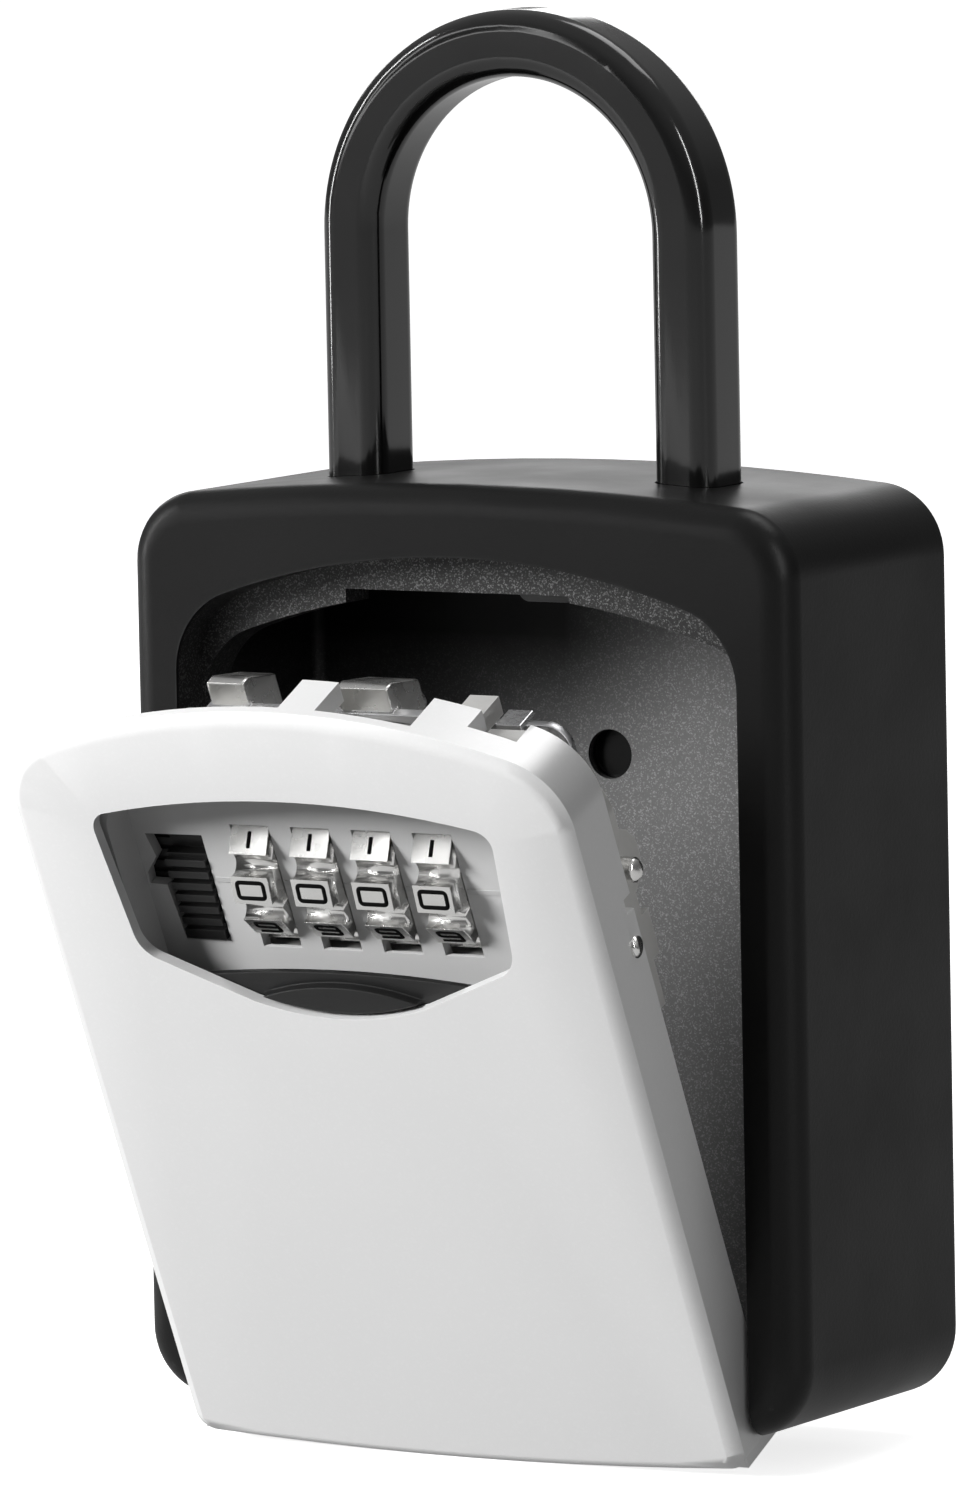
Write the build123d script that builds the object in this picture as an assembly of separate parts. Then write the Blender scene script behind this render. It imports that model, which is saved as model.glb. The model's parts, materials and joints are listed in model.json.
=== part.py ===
from build123d import *
import os
from math import sqrt

# Key lock box: thick cast case, combination door on a bottom hinge, removable shackle.
# Pieces are drawn in case coordinates in mm: X to the right, Y = 0 at the case's front face and growing
# towards the back, Z = 0 at the case's bottom. The door group is drawn closed. On export the door group
# turns open about the hinge, and everything shifts so the origin lies on the back face, midway between
# the two wall knock-outs.

# Case
CASE_WIDTH = 90.0
CASE_DEPTH = 40.0
CASE_HEIGHT = 111.0
CROWN_RADIUS = 381.0
CASE_CORNER = 8.5
FRONT_EDGE = 3.75
BACK_EDGE = 1.5
BACK_WALL = 3.0
SIDE_WALL = 4.0
FLOOR_TOP = 4.0
FLOOR_FRONT = 11.6
CEILING = 98.2
CAVITY_CORNER = 5.0
OPENING_HALF = 38.2
OPENING_APEX = 102.5
OPENING_CORNER = 10.0
ARCH_RADIUS = 98.0
LEDGE_FRONT = 6.0
LEDGE_BACK = 11.3
LEDGE_HALF = 37.9
LEDGE_APEX = 97.8
LEDGE_CORNER = 9.0
STRIKE_LEFT = -18.0
STRIKE_RIGHT = 12.5
STRIKE_BACK = 16.5
STRIKE_TOP = 101.5

# Knock-outs for the wall screws: thinned discs that are punched through when the box goes on a wall
KNOCKOUT_RADIUS = 3.0
KNOCKOUT_WEB = 1.2
KNOCKOUT_LOW = 25.5
KNOCKOUT_SPACING = 50.0
ORIGIN_Z = KNOCKOUT_LOW + KNOCKOUT_SPACING / 2

# Shackle and its lock
LEG_X = 22.5
LEG_Y = 20.0
BEND_Z = 139.6
CORE_RADIUS = 3.0
CORE_CLEARANCE = 0.06
SLEEVE_WIDTH = 8.0
SLEEVE_DEPTH = 10.0
SLEEVE_CORNER = 2.6
SLEEVE_BOTTOM = 107.8
WELL_CLEARANCE = 0.25
LEG_END = 96.5
WAIST_HALF = 2.0
WAIST_LOW = 99.3
WAIST_HIGH = 101.9
STRIP_LOW = 99.6
STRIP_HIGH = 101.6
STRIP_FRONT = 15.5
STRIP_BACK = 24.5
STRIP_LEFT = -31.9
STRIP_RIGHT = 30.0
STRIP_TRAVEL = 4.0
STRIP_ROOF = 101.8
KEYHOLE_RADIUS = 3.3
KEYHOLE_SLOT_HALF = 2.15
KEYHOLE_SLOT_LENGTH = 7.2
GUIDE_X = 12.0
GUIDE_SHOULDER = 1.5
GUIDE_HEAD = 2.75
GUIDE_THREAD = 1.25
GUIDE_THREAD_TOP = 107.0
TAB_HALF = 4.0
TAB_LOW = 95.2

# Hinge
HINGE_Y = 7.0
HINGE_Z = 4.0
DOOR_OPEN_ANGLE = 25.5
PIN_RADIUS = 1.5
RUNNING = 0.05
PIN_LEFT = -43.3
PIN_RIGHT = 41.5
BARREL_RADIUS = 4.4
BARREL_HALF = 37.2
BUSH_RADIUS = 2.4
BUSH_LENGTH = 8.0

# Door cover
DOOR_HALF = 37.6
DOOR_APEX = 101.9
DOOR_ARCH = 97.4
DOOR_CORNER = 9.5
DOOR_BOTTOM_CORNER = 2.5
DOOR_BOTTOM_SAG = 1.5
DOOR_FRONT = -3.1
DOOR_BACK = 5.6
COVER_WALL = 2.5
FACE_BEVEL = 1.7
BEVEL_DEPTH = 1.3
FACE_BACK = DOOR_FRONT + COVER_WALL
BOSS_RADIUS = 1.8
BOSS_X = 30.2
BOSS_HEIGHTS = (61.0, 81.0)
TOP_NOTCHES = ((-38.5, 1.5), (6.3, 18.6))
SHELF_NOTCH = (24.5, 30.5)
SHELF_NOTCH_FRONT = 1.9
NOTCH_LOW = 87.0
SIDE_NOTCH_LOW = 72.8
SIDE_NOTCH_HIGH = 74.8
SIDE_NOTCH_DEPTH = 1.6

# Window in the cover
WINDOW_TOP_HALF = 27.0
WINDOW_TOP_SIDE = 87.4
WINDOW_APEX = 90.6
WINDOW_LOW_HALF = 25.3
WINDOW_LOW = 69.0
SCOOP_HALF = 11.5
SCOOP_SIDE = 62.9
SCOOP_LOW = 61.0
WINDOW_TOP_CORNER = 2.5
WINDOW_LOW_CORNER = 4.0

# Shutter
SHUTTER_HALF = 28.3
SHUTTER_LOW = 33.0
SHUTTER_SIDE_TOP = 63.6
SHUTTER_APEX = 66.3
SHUTTER_FRONT = -1.5
SHUTTER_BACK = -0.7
GRIP_HALF = 10.5
GRIP_SIDE = 63.2
GRIP_LOW = 61.5
GRIP_HIGH = 65.0
GRIP_FRONT = -2.7
TRACK_GAP = 0.3
TRACK_LOW = 32.0
TRACK_HIGH = 93.8
TRACK_FRONT = -1.6

# Dial plate
PLATE_HALF = 34.5
PLATE_LOW = 30.0
PLATE_APEX = 94.0
PLATE_BACK = 2.6
DISH_HALF = 26.0
DISH_LOW = 60.5
DISH_APEX = 89.9
DISH_FLOOR = 3.1
DISH_BACK = 4.6
DISH_WALL = 1.6
DISH_ARCH = 90.4
DISH_CORNER = 3.0
DISH_TAPER = -12
SLOT_HALF = 2.6
SLOT_LOW = 66.5
SLOT_HIGH = 83.2
SLOT_RELIEF = 3.6

# Dials
DIAL_PITCH = 8.2
DIAL_FIRST = -9.8
DIAL_XS = [DIAL_FIRST + DIAL_PITCH * i for i in range(4)]
DIAL_Y = 9.7
DIAL_Z = 75.3
DIAL_DIGITS = 10
WHEEL_APOTHEM = 9.7
WHEEL_TURN = 5.0
WHEEL_HALF = 2.5
GROOVE_RADIUS = 1.36
GROOVE_CENTRE = 9.5
HUB_RADIUS = 3.5
CAM_RADIUS = 4.9
CAM_NEAR = 2.6
CAM_FAR = 4.6
GATE_WIDTH = 2.2
GATE_DEPTH = 1.2
GATE_ANGLE = -16.5
SPINDLE_RADIUS = 1.5
SPINDLE_LEFT = -15.7
SPINDLE_RIGHT = 36.8
CLIP_LEFT = -15.2
CLIP_RIGHT = -14.7
CLIP_RADIUS = 2.9
CLIP_GROOVE = 1.2

# Mechanism frame
FRAME_HALF = 34.5
FRAME_LOW = 56.0
FRAME_APEX = 93.2
FRAME_BACK = 11.4
FRAME_WALL = 2.0
FRAME_FLOOR_BACK = 6.2
FRAME_CORNER = 7.0
BULKHEAD_BACK = 19.7
BULKHEAD_TOP = 85.8
LEFT_BULKHEAD = (-14.6, -12.8)
RIGHT_BULKHEAD = (20.0, 21.8)
POST_XS = (-14.8, 22.6)
POST_HEIGHTS = (63.0, 83.5)
POST_RADIUS = 2.3
SHELF_LOW = 60.0
SHELF_HIGH = 61.8
SMALL_SCREW = 1.0

# Rear cover
REAR_COVER_BACK = 20.9
REAR_COVER_LEFT = -17.4
REAR_COVER_RIGHT = 25.4
REAR_COVER_LOW = 59.8
REAR_COVER_HIGH = 88.0

# Latch
LATCH_TRAVEL = 2.4
LATCH_FRONT = 11.5
LATCH_BACK = 13.0
ARM_LEFT = -26.0
ARM_RIGHT = -17.6
ARM_LOW = 68.0
BAR_LOW = 86.4
BAR_TOP = 93.8
BAR_LEFT = -17.2
ARM_TOP = 91.6
BAR_RIGHT = 12.5
TAIL_TOP = 89.4
COMB_TIP = 80.7
COMB_HALF = 0.8
COMB_OFFSET = 3.6
BOLT_FRONT = 11.9
BOLT_BACK = 19.0
BOLT_TOP = 97.0
BOLT_BEVEL = 2.8
BOLT_LOW = 88.5
LEFT_BOLT = (-16.4, -11.4)
RIGHT_BOLT = (1.0, 8.0)
RIVET_RADIUS = 1.0
RIVET_HEAD = 1.6
RIVET_HEAD_HEIGHT = 0.6
BOLT_RIVETS = ((-13.9, 91.0), (2.9, 91.0), (6.1, 91.0))
KNOB_RIVET = (-19.7, 73.5)
LATCH_GUIDES = ((-21.0, 89.2), (-3.0, 91.4))
LATCH_GUIDE_THREAD = 1.2

# Open knob
KNOB_LEFT = -22.4
KNOB_RIGHT = -17.0
KNOB_LOW = 67.4
KNOB_HIGH = 78.8
KNOB_FRONT = 2.6
KNOB_BASE_FRONT = 4.8
KNOB_BACK = 6.1
KNOB_BASE_LEFT = -26.4
KNOB_BASE_RIGHT = -16.7
KNOB_BASE_LOW = 64.2
KNOB_BASE_HIGH = 82.6
KNOB_RIB_PITCH = 1.6
KNOB_GROOVE = 0.7
KNOB_SLOT = ((-16.7, 67.0), (-16.7, 81.5), (-24.5, 81.4), (-23.8, 78.3), (-25.6, 76.0), (-25.7, 74.5),
             (-23.4, 74.4), (-22.8, 67.0))

# Latch spring
SPRING_X = -28.6
SPRING_Y = 9.75
SPRING_LOW = 58.05
SPRING_HIGH = 74.9
SPRING_RADIUS = 1.9
SPRING_WIRE = 0.25
SPRING_PITCH = 1.6
EAR_HIGH = 76.2

# Side rivets and reset lever
SIDE_RIVET_Y = 4.0
SIDE_RIVET_Z = 68.5
SIDE_RIVET_RADIUS = 1.3
RESET_X = 9.0
RESET_Z = 64.7
RESET_TRAVEL = 3.0


def block(x0, x1, y0, y1, z0, z1):
    """A box between two corners."""
    centre = Pos((x0 + x1) / 2, (y0 + y1) / 2, (z0 + z1) / 2)
    return centre * Box(x1 - x0, y1 - y0, z1 - z0)


def upright(radius, height):
    """A cylinder standing on the XY plane."""
    return Cylinder(radius, height, align=(Align.CENTER, Align.CENTER, Align.MIN))


def rod_x(x0, x1, y, z, radius):
    return Pos(x0, y, z) * Rot(0, 90, 0) * upright(radius, x1 - x0)


def rod_y(x, y0, y1, z, radius):
    return Pos(x, y0, z) * Rot(-90, 0, 0) * upright(radius, y1 - y0)


def rod_z(x, y, z0, z1, radius):
    return Pos(x, y, z0) * upright(radius, z1 - z0)


def slab(profile, y0, y1, taper=0):
    """A profile drawn in X and Z, given thickness from y0 to y1."""
    return Pos(0, y1, 0) * Rot(90, 0, 0) * extrude(profile, amount=y1 - y0, taper=taper)


def arched_outline(half, low, apex, arch, corner):
    """A straight-sided outline with a shallow arched top and rounded top corners."""
    side = apex - (arch - sqrt(arch**2 - half**2))
    edges = Polyline((-half, side), (-half, low), (half, low), (half, side))
    edges += ThreePointArc((half, side), (0, apex), (-half, side))
    face = make_face(edges)
    return fillet(face.vertices().sort_by(Axis.Y)[-2:], corner)


def slot_along_x(x0, x1, y, z0, z1, radius):
    """A round-ended slot, centres from x0 to x1, cut through from z0 to z1."""
    middle = block(x0, x1, y - radius, y + radius, z0, z1)
    return middle + rod_z(x0, y, z0, z1, radius) + rod_z(x1, y, z0, z1, radius)


def case_shell():
    outline = arched_outline(CASE_WIDTH / 2, 0, CASE_HEIGHT, CROWN_RADIUS, CASE_CORNER)
    outline = fillet(outline.vertices().sort_by(Axis.Y)[:2], CASE_CORNER)
    case = slab(outline, 0, CASE_DEPTH)
    case = fillet(case.faces().sort_by(Axis.Y)[0].edges(), FRONT_EDGE)
    case = fillet(case.faces().sort_by(Axis.Y)[-1].edges(), BACK_EDGE)
    opening = arched_outline(OPENING_HALF, -5, OPENING_APEX, ARCH_RADIUS, OPENING_CORNER)
    case -= slab(opening, -1, LEDGE_FRONT)
    inner = arched_outline(LEDGE_HALF, -5, LEDGE_APEX, ARCH_RADIUS, LEDGE_CORNER)
    case -= slab(inner, LEDGE_FRONT - 1, LEDGE_BACK + 0.5)
    case -= block(-LEDGE_HALF, LEDGE_HALF, -1, FLOOR_FRONT, -5, 3 * FLOOR_TOP)
    case -= block(STRIKE_LEFT, STRIKE_RIGHT, LEDGE_FRONT, LEDGE_BACK, LEDGE_APEX - 4, LEDGE_APEX)
    case -= cavity()
    case -= block(STRIKE_LEFT, STRIKE_RIGHT, LEDGE_BACK, STRIKE_BACK, CEILING - 1, STRIKE_TOP)
    case -= shackle_wells()
    case -= rod_x(-CASE_WIDTH, PIN_RIGHT, HINGE_Y, HINGE_Z, PIN_RADIUS)
    for z in (KNOCKOUT_LOW, KNOCKOUT_LOW + KNOCKOUT_SPACING):
        case -= rod_y(0, CASE_DEPTH - 2 * BACK_WALL, CASE_DEPTH - KNOCKOUT_WEB, z, KNOCKOUT_RADIUS)
    return case


def cavity():
    """The hollow behind the ledge, with rounded corners and a rounded back."""
    half = CASE_WIDTH / 2 - SIDE_WALL
    middle = (FLOOR_TOP + CEILING) / 2
    outline = Pos(0, middle) * RectangleRounded(2 * half, CEILING - FLOOR_TOP, CAVITY_CORNER)
    hollow = slab(outline, LEDGE_BACK, CASE_DEPTH - BACK_WALL)
    return fillet(hollow.faces().sort_by(Axis.Y)[-1].edges(), BACK_EDGE)


def shackle_wells():
    """Everything cut into the thick top: leg bores, sleeve pockets, strip recess and screw holes."""
    cut = block(STRIP_LEFT - 0.6, STRIP_RIGHT + STRIP_TRAVEL + 0.6, STRIP_FRONT - 0.1, STRIP_BACK + 0.1,
                CEILING - 1, STRIP_ROOF)
    pocket = Rectangle(SLEEVE_WIDTH + 2 * WELL_CLEARANCE, SLEEVE_DEPTH + 2 * WELL_CLEARANCE)
    pocket = fillet(pocket.vertices(), SLEEVE_CORNER + WELL_CLEARANCE)
    for side in (-1, 1):
        x = side * LEG_X
        cut += rod_z(x, LEG_Y, CEILING - 1, CASE_HEIGHT, CORE_RADIUS + CORE_CLEARANCE)
        cut += Pos(x, LEG_Y, SLEEVE_BOTTOM - 0.1) * extrude(pocket, amount=10)
        cut += rod_z(side * GUIDE_X, LEG_Y, CEILING, GUIDE_THREAD_TOP, GUIDE_THREAD)
    return cut


def hinge_pin():
    pin = rod_x(PIN_LEFT, PIN_RIGHT, HINGE_Y, HINGE_Z, PIN_RADIUS)
    return chamfer(pin.edges().filter_by(GeomType.CIRCLE), 0.3)


def shackle_solid(section, low):
    """A section carried up the left leg, round the bend and down the right leg."""
    bend_axis = Axis((0, LEG_Y, BEND_Z), (0, -1, 0))
    solid = revolve(Pos(LEG_X, LEG_Y, BEND_Z) * section, bend_axis, 180)
    for side in (-1, 1):
        solid += Pos(side * LEG_X, LEG_Y, low) * extrude(section, amount=BEND_Z - low)
    return solid


def shackle_core():
    core = shackle_solid(Circle(CORE_RADIUS), LEG_END)
    feet = core.faces().sort_by(Axis.Z)[:2]
    core = chamfer(feet.edges(), 0.6)
    for side in (-1, 1):
        x = side * LEG_X
        for y0, y1 in ((LEG_Y + WAIST_HALF, LEG_Y + 5), (LEG_Y - 5, LEG_Y - WAIST_HALF)):
            core -= block(x - 5, x + 5, y0, y1, WAIST_LOW, WAIST_HIGH)
    return core


def shackle_sleeve():
    section = RectangleRounded(SLEEVE_WIDTH, SLEEVE_DEPTH, SLEEVE_CORNER)
    return shackle_solid(section - Circle(CORE_RADIUS), SLEEVE_BOTTOM)


def shackle_lock_slide():
    strip = block(STRIP_LEFT, STRIP_RIGHT, STRIP_FRONT, STRIP_BACK, STRIP_LOW, STRIP_HIGH)
    strip = fillet(strip.edges().filter_by(Axis.Z), 1.5)
    for side in (-1, 1):
        x = side * LEG_X
        strip -= rod_z(x, LEG_Y, STRIP_LOW - 1, STRIP_HIGH + 1, KEYHOLE_RADIUS)
        strip -= block(x - KEYHOLE_SLOT_LENGTH, x, LEG_Y - KEYHOLE_SLOT_HALF, LEG_Y + KEYHOLE_SLOT_HALF,
                       STRIP_LOW - 1, STRIP_HIGH + 1)
        strip -= slot_along_x(side * GUIDE_X - STRIP_TRAVEL, side * GUIDE_X, LEG_Y,
                              STRIP_LOW - 1, STRIP_HIGH + 1, GUIDE_SHOULDER + 0.1)
    tab = block(-TAB_HALF, TAB_HALF, STRIP_BACK - 1.8, STRIP_BACK, TAB_LOW, STRIP_LOW + 0.5)
    tab = fillet(tab.edges().filter_by(Axis.Y).sort_by(Axis.Z)[:2], 1.5)
    return strip + tab


def lock_guide_screws():
    screws = Part()
    for side in (-1, 1):
        x = side * GUIDE_X
        screw = rod_z(x, LEG_Y, 98.0, 99.4, GUIDE_HEAD)
        screw += rod_z(x, LEG_Y, 99.4, STRIP_ROOF, GUIDE_SHOULDER)
        screw += rod_z(x, LEG_Y, STRIP_ROOF, GUIDE_THREAD_TOP - 0.5, GUIDE_THREAD)
        screw -= block(x - 0.4, x + 0.4, LEG_Y - 3, LEG_Y + 3, 97.9, 98.5)
        screws += screw
    return screws


def window_outline():
    """The door's window: arched top, tapering sides, shallow V below with a thumb scoop."""
    top_left, top_right = (-WINDOW_TOP_HALF, WINDOW_TOP_SIDE), (WINDOW_TOP_HALF, WINDOW_TOP_SIDE)
    low_left, low_right = (-WINDOW_LOW_HALF, WINDOW_LOW), (WINDOW_LOW_HALF, WINDOW_LOW)
    scoop_left, scoop_right = (-SCOOP_HALF, SCOOP_SIDE), (SCOOP_HALF, SCOOP_SIDE)
    edges = ThreePointArc(top_left, (0, WINDOW_APEX), top_right)
    edges += Polyline(top_right, low_right, scoop_right)
    edges += ThreePointArc(scoop_right, (0, SCOOP_LOW), scoop_left)
    edges += Polyline(scoop_left, low_left, top_left)
    face = make_face(edges)
    face = fillet(face.vertices().sort_by(Axis.Y)[-2:], WINDOW_TOP_CORNER)
    low_corners = [v for v in face.vertices() if abs(v.Y - WINDOW_LOW) < 0.1]
    return fillet(low_corners, WINDOW_LOW_CORNER)


def door_outline():
    """The door's face: arched top and a bottom edge that sags slightly in the middle."""
    outline = arched_outline(DOOR_HALF, 0, DOOR_APEX, DOOR_ARCH, DOOR_CORNER)
    sag = ThreePointArc((-DOOR_HALF, 0), (0, -DOOR_BOTTOM_SAG), (DOOR_HALF, 0))
    outline += make_face(sag + Line((DOOR_HALF, 0), (-DOOR_HALF, 0)))
    corners = [v for v in outline.vertices() if abs(v.Y) < 0.01 and abs(abs(v.X) - DOOR_HALF) < 0.01]
    return fillet(corners, DOOR_BOTTOM_CORNER)


def door_cover():
    cover = slab(door_outline(), DOOR_FRONT, DOOR_BACK)
    cover = chamfer(cover.faces().sort_by(Axis.Y)[0].edges(), BEVEL_DEPTH, FACE_BEVEL)
    inner = arched_outline(DOOR_HALF - COVER_WALL, -5, DOOR_APEX - COVER_WALL, DOOR_ARCH - COVER_WALL,
                           DOOR_CORNER - COVER_WALL)
    cover -= slab(inner, FACE_BACK, DOOR_BACK + 1)
    track = SHUTTER_HALF + TRACK_GAP
    cover -= block(-track, track, TRACK_FRONT, FACE_BACK, TRACK_LOW, TRACK_HIGH)
    cover -= slab(window_outline(), DOOR_FRONT - 1, FACE_BACK + 1)
    for x0, x1 in TOP_NOTCHES:
        cover -= block(x0, x1, FACE_BACK, DOOR_BACK + 1, NOTCH_LOW, DOOR_APEX + 1)
    cover -= block(*SHELF_NOTCH, SHELF_NOTCH_FRONT, DOOR_BACK + 1, NOTCH_LOW, DOOR_APEX + 1)
    cover -= block(DOOR_HALF - 3, DOOR_HALF + 1, DOOR_BACK - SIDE_NOTCH_DEPTH, DOOR_BACK + 1,
                   SIDE_NOTCH_LOW, SIDE_NOTCH_HIGH)
    cover += rod_x(-BARREL_HALF, BARREL_HALF, HINGE_Y, HINGE_Z, BARREL_RADIUS)
    web_low = HINGE_Z - BARREL_RADIUS
    cover += block(-BARREL_HALF, BARREL_HALF, FACE_BACK - 0.5, HINGE_Y, web_low, HINGE_Z + BARREL_RADIUS)
    for x in (-BOSS_X, BOSS_X):
        for z in BOSS_HEIGHTS:
            cover += rod_y(x, FACE_BACK - 0.2, PLATE_BACK, z, BOSS_RADIUS)
            cover -= rod_y(x, FACE_BACK, PLATE_BACK + 1, z, SMALL_SCREW)
    for side in (-1, 1):
        x0, x1 = sorted((side * 30, side * 40))
        cover -= rod_x(x0, x1, SIDE_RIVET_Y, SIDE_RIVET_Z, SIDE_RIVET_RADIUS)
        bush_in = side * (BARREL_HALF - BUSH_LENGTH)
        x0, x1 = sorted((bush_in, side * 40))
        cover -= rod_x(x0, x1, HINGE_Y, HINGE_Z, BUSH_RADIUS)
    cover -= rod_x(-40, 40, HINGE_Y, HINGE_Z, PIN_RADIUS + 0.3)
    return cover


def hinge_bush(side):
    x0, x1 = sorted((side * (BARREL_HALF - BUSH_LENGTH), side * BARREL_HALF))
    bush = rod_x(x0, x1, HINGE_Y, HINGE_Z, BUSH_RADIUS)
    return bush - rod_x(x0 - 1, x1 + 1, HINGE_Y, HINGE_Z, PIN_RADIUS + RUNNING)


def dish_outline(margin):
    """The recessed part of the dial plate behind the window, with a margin for its wall."""
    return arched_outline(DISH_HALF + margin, DISH_LOW - margin, DISH_APEX + margin, DISH_ARCH,
                          DISH_CORNER + margin)


def dial_plate():
    outline = arched_outline(PLATE_HALF, PLATE_LOW, PLATE_APEX, DOOR_ARCH - 3, FRAME_CORNER)
    plate = slab(outline, FACE_BACK, PLATE_BACK) + slab(dish_outline(DISH_WALL), FACE_BACK, DISH_BACK)
    plate -= slab(dish_outline(0), FACE_BACK, DISH_FLOOR, DISH_TAPER)
    for x in DIAL_XS:
        plate -= block(x - SLOT_HALF, x + SLOT_HALF, -5, 5, SLOT_LOW, SLOT_HIGH)
        plate -= block(x - SLOT_HALF, x + SLOT_HALF, SLOT_RELIEF, 5, SLOT_LOW - 0.6, SLOT_HIGH + 1.2)
    plate -= slab(knob_slot(), -5, 5)
    for x in (-BOSS_X, BOSS_X):
        for z in BOSS_HEIGHTS:
            plate -= rod_y(x, -5, 5, z, BOSS_RADIUS + 0.1)
    return plate


def knob_slot():
    """The knob's slot: straight right side, an arrow-like notch half way down the left side."""
    return make_face(Polyline(*KNOB_SLOT, close=True))


def mechanism_frame():
    outline = arched_outline(FRAME_HALF, FRAME_LOW, FRAME_APEX, DOOR_ARCH - 3, FRAME_CORNER)
    frame = slab(outline, PLATE_BACK, FRAME_BACK)
    hollow = arched_outline(FRAME_HALF - FRAME_WALL, FRAME_LOW + FRAME_WALL, FRAME_APEX - FRAME_WALL,
                            DOOR_ARCH - 5, FRAME_CORNER - FRAME_WALL)
    frame -= slab(hollow, FRAME_FLOOR_BACK, FRAME_BACK + 1)
    for x0, x1 in (LEFT_BULKHEAD, RIGHT_BULKHEAD):
        frame += block(x0, x1, FRAME_FLOOR_BACK - 0.2, BULKHEAD_BACK, FRAME_LOW + 1, BULKHEAD_TOP)
    frame += block(LEFT_BULKHEAD[0], RIGHT_BULKHEAD[1], FRAME_FLOOR_BACK - 0.2, BULKHEAD_BACK,
                   SHELF_LOW, SHELF_HIGH)
    for x in POST_XS:
        for z in POST_HEIGHTS:
            frame += rod_y(x, FRAME_FLOOR_BACK - 0.2, BULKHEAD_BACK, z, POST_RADIUS)
            frame -= rod_y(x, BULKHEAD_BACK - 7, BULKHEAD_BACK + 1, z, SMALL_SCREW)
    for x, z in LATCH_GUIDES:
        frame += rod_y(x, FRAME_FLOOR_BACK - 0.2, FRAME_BACK, z, 2.7)
    frame += frame_ribs()
    for x, z in LATCH_GUIDES:
        frame -= rod_y(x, FRAME_BACK - 5.5, FRAME_BACK + 1, z, LATCH_GUIDE_THREAD)
    frame -= slab(dish_outline(DISH_WALL + 0.1), PLATE_BACK - 1, DISH_BACK + 0.1)
    frame -= block(LEFT_BULKHEAD[1], RIGHT_BULKHEAD[0], PLATE_BACK - 1, FRAME_FLOOR_BACK + 0.1, 65.6, 85.2)
    frame -= block(KNOB_BASE_LEFT - 0.6, KNOB_BASE_RIGHT + 0.3, PLATE_BACK - 1, FRAME_FLOOR_BACK + 0.1,
                   KNOB_BASE_LOW - 0.6, KNOB_BASE_HIGH + LATCH_TRAVEL + 0.3)
    frame -= rod_x(LEFT_BULKHEAD[0] - 1, FRAME_HALF + 1, DIAL_Y, DIAL_Z, SPINDLE_RADIUS)
    for x in (-BOSS_X, BOSS_X):
        for z in BOSS_HEIGHTS:
            frame -= rod_y(x, 0, FRAME_FLOOR_BACK + 1, z, SMALL_SCREW)
    for side in (-1, 1):
        x0, x1 = sorted((side * 32, side * 36))
        frame -= rod_x(x0, x1, SIDE_RIVET_Y, SIDE_RIVET_Z, SIDE_RIVET_RADIUS)
    return frame


def frame_ribs():
    """Ribs and steps on the frame's top, and the raised ears of its side flanges."""
    ribs = block(-1.8, 0.4, PLATE_BACK, FRAME_BACK, 92.0, 96.3)
    ribs += block(16.8, 20.6, PLATE_BACK, FRAME_BACK, 90.0, 94.6)
    ribs += block(16.8, 20.6, FRAME_BACK - 1, FRAME_BACK + 3.9, 92.2, 94.6)
    ribs += block(25.0, 30.0, PLATE_BACK, DOOR_BACK - 0.1, 88.0, 96.3)
    ribs += block(25.0, 28.4, 4.5, 9.5, 88.0, 92.6)
    ribs += block(-24.6, -21.4, PLATE_BACK, FRAME_BACK, 89.5, 93.0)
    ribs += block(28.4, 33.5, FRAME_FLOOR_BACK - 0.2, FRAME_BACK + 1.2, 66.0, 76.0)
    for side in (-1, 1):
        x0, x1 = sorted((side * (FRAME_HALF - FRAME_WALL), side * FRAME_HALF))
        ribs += rod_x(x0, x1, DIAL_Y, DIAL_Z, 4.6)
        ribs += block(x0, x1, FRAME_BACK - 1, FRAME_BACK + 1.6, 62.0, 68.0)
    return ribs


def frame_screws():
    screws = Part()
    for x in (-BOSS_X, BOSS_X):
        for z in BOSS_HEIGHTS:
            screw = rod_y(x, FACE_BACK + 0.4, FRAME_FLOOR_BACK, z, SMALL_SCREW)
            screw += rod_y(x, FRAME_FLOOR_BACK, FRAME_FLOOR_BACK + 1.3, z, 1.9)
            screws += screw - block(x - 1.3, x + 1.3, FRAME_FLOOR_BACK + 0.7, FRAME_BACK, z - 0.3, z + 0.3)
    return screws


def rear_cover():
    width = REAR_COVER_RIGHT - REAR_COVER_LEFT
    height = REAR_COVER_HIGH - REAR_COVER_LOW
    centre = Pos(REAR_COVER_LEFT + width / 2, REAR_COVER_LOW + height / 2)
    cover = slab(centre * RectangleRounded(width, height, 3), BULKHEAD_BACK, REAR_COVER_BACK)
    for x in POST_XS:
        for z in POST_HEIGHTS:
            cover -= rod_y(x, BULKHEAD_BACK - 1, REAR_COVER_BACK + 1, z, 1.1)
    window = Pos(RESET_X + RESET_TRAVEL / 2, RESET_Z) * RectangleRounded(2.6 + RESET_TRAVEL, 2.6, 0.3)
    cover -= slab(window, BULKHEAD_BACK - 1, REAR_COVER_BACK + 1)
    for x in DIAL_XS:
        cover -= block(x - 1.2, x + 1.2, BULKHEAD_BACK - 1, REAR_COVER_BACK + 1, 73.5, 79.5)
    return cover


def rear_cover_screws():
    screws = Part()
    for x in POST_XS:
        for z in POST_HEIGHTS:
            screw = rod_y(x, BULKHEAD_BACK - 6.5, REAR_COVER_BACK, z, SMALL_SCREW)
            screw += rod_y(x, REAR_COVER_BACK, REAR_COVER_BACK + 1.1, z, 2.0)
            screws += screw - block(x - 1.4, x + 1.4, REAR_COVER_BACK + 0.6, REAR_COVER_BACK + 2,
                                    z - 0.3, z + 0.3)
    return screws


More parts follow.
